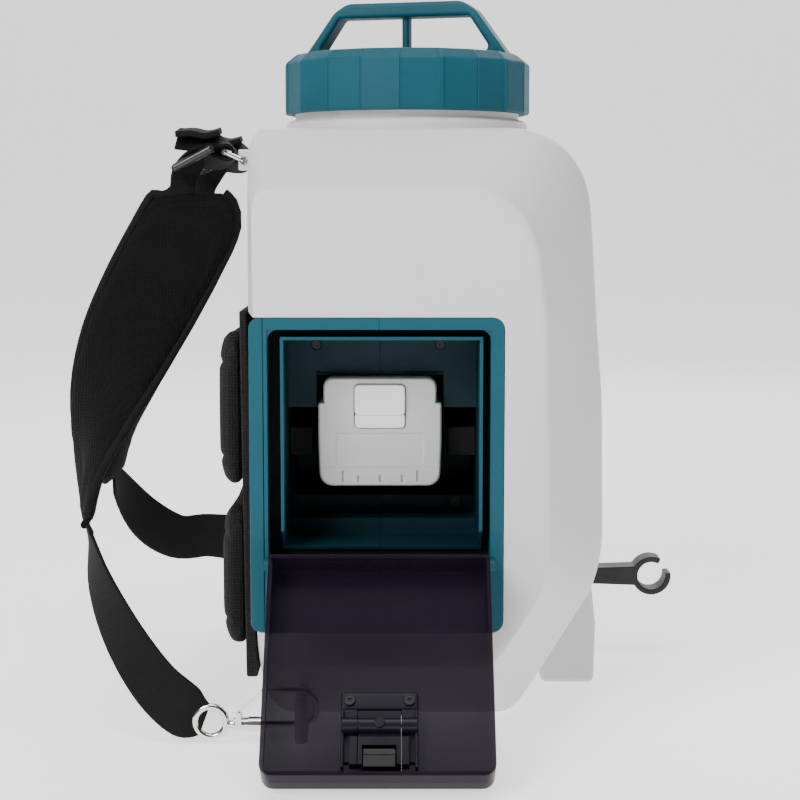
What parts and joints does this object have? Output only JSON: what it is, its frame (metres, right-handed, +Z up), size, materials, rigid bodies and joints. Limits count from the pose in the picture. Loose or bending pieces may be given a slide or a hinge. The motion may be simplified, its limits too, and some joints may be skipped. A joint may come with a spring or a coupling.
{
  "type": "backpack sprayer",
  "caption": "Battery backpack sprayer: moulded tank with screw cap and bail handle, side battery bay with a drop-down clear cover, back pad and straps.",
  "frame": {"origin": "middle of the tank's flat base, on the ground", "axes": "+X from the wearer's back to the rear of the tank, +Y to the wearer's right, +Z up"},
  "size_m": [0.426, 0.4537, 0.458],
  "materials": {
    "tank_plastic": "translucent blow-moulded",
    "teal_plastic": "fine moulded texture",
    "black_plastic": "moulded",
    "seal_rubber": "matt",
    "smoked_plastic": "smoked clear",
    "smoked_latch": "smoked",
    "pack_grey": "satin",
    "button_white": "satin",
    "cell_steel": "plated",
    "brass_contacts": "bright",
    "board_green": "lacquered",
    "steel_wire": "polished",
    "screw_steel": "plated",
    "pin_steel": "ground",
    "motor_steel": "plated",
    "tube_plastic": "natural",
    "pad_mesh": "spacer mesh",
    "strap_web": "woven",
    "lamp_lens": "diffuse lens",
    "gauge_lens": "gloss"
  },
  "bodies": {
    "tank": {"tank": "tank_plastic", "strainer_basket": "black_plastic", "housing_front": "teal_plastic", "housing_rear": "teal_plastic", "housing_back": "teal_plastic", "housing_screws": "screw_steel", "frame_gasket": "seal_rubber", "terminal_block": "black_plastic", "side_pads": "seal_rubber", "cover_pin": "pin_steel", "status_lamp": "lamp_lens", "gauge_window": "gauge_lens", "control_board": "board_green", "motor": "motor_steel", "pump_head": "black_plastic", "suction_tube": "tube_plastic", "outlet_tube": "tube_plastic", "outlet_barb": "black_plastic", "lance_clip": "black_plastic", "back_board": "pad_mesh", "upper_cushion": "pad_mesh", "lower_cushion": "pad_mesh", "upper_ring_left": "steel_wire", "upper_ring_right": "steel_wire", "upper_webbing_left": "strap_web", "upper_webbing_right": "strap_web", "adjuster_left": "black_plastic", "adjuster_right": "black_plastic", "shoulder_pad_left": "pad_mesh", "shoulder_pad_right": "pad_mesh", "lower_webbing_left": "strap_web", "lower_webbing_right": "strap_web", "snap_hook_left": "steel_wire", "snap_hook_right": "steel_wire"},
    "cap_seal": {"cap_seal": "seal_rubber"},
    "cap": {"filler_cap": "teal_plastic", "cap_handle": "teal_plastic", "vent_valve": "tube_plastic"},
    "cover": {"cover": "smoked_plastic", "latch_plate": "smoked_latch", "latch_screws": "screw_steel", "latch_base": "smoked_latch", "latch_pin": "pin_steel"},
    "latch": {"latch_lever": "smoked_latch", "latch_hook": "black_plastic"},
    "battery": {"battery_case": "pack_grey", "battery_base": "pack_grey", "battery_cells": "cell_steel", "battery_terminals": "brass_contacts"},
    "battery_release": {"battery_button": "button_white"},
    "power_key": {"power_button": "black_plastic"},
    "rotor": {"motor_shaft": "pin_steel", "pump_cam": "brass_contacts"},
    "gate_left": {"gate_left": "steel_wire"},
    "gate_right": {"gate_right": "steel_wire"}
  },
  "joints": [
    {"name": "cap_lift", "type": "slide", "parent": "tank", "child": "cap_seal", "axis": [0, 0, 1], "range_m": [0, 0.009]},
    {"name": "cap_turn", "type": "hinge", "parent": "cap_seal", "child": "cap", "pos_m": [0.0047, 0, 0.4], "axis": [0, 0, 1], "range_deg": [0, 540]},
    {"name": "cover_hinge", "type": "hinge", "parent": "tank", "child": "cover", "pos_m": [0, -0.164, 0.11], "axis": [-1, 0, 0], "range_deg": [0, 140]},
    {"name": "latch_pull", "type": "hinge", "parent": "cover", "child": "latch", "pos_m": [-0.0115, -0.23865, 0.03426], "axis": [1, 0, 0], "range_deg": [0, 20], "stiffness_Nm_per_rad": 0.2},
    {"name": "battery_slide", "type": "slide", "parent": "tank", "child": "battery", "axis": [0, -1, 0], "range_m": [0, 0.02]},
    {"name": "battery_release_press", "type": "slide", "parent": "battery", "child": "battery_release", "axis": [0, 1, 0], "range_m": [0, 0.0012], "stiffness_N_per_m": 800},
    {"name": "power_press", "type": "slide", "parent": "tank", "child": "power_key", "axis": [0, 1, 0], "range_m": [0, 0.0012], "stiffness_N_per_m": 800},
    {"name": "motor_spin", "type": "hinge", "parent": "tank", "child": "rotor", "pos_m": [-0.0124, 0.05, 0.165], "axis": [0, 1, 0], "continuous": true},
    {"name": "gate_left_spring", "type": "hinge", "parent": "tank", "child": "gate_left", "pos_m": [-0.0975, -0.164, 0.0189], "axis": [0, 1, 0], "range_deg": [0, 20], "stiffness_Nm_per_rad": 0.02},
    {"name": "gate_right_spring", "type": "hinge", "parent": "tank", "child": "gate_right", "pos_m": [-0.09206, 0.164, 0.04251], "axis": [0, 1, 0], "range_deg": [0, 20], "stiffness_Nm_per_rad": 0.02}
  ],
  "couplings": [
    {"joint": "cap_lift", "follows": "cap_turn", "m_per_rad": 0.00095493}
  ]
}
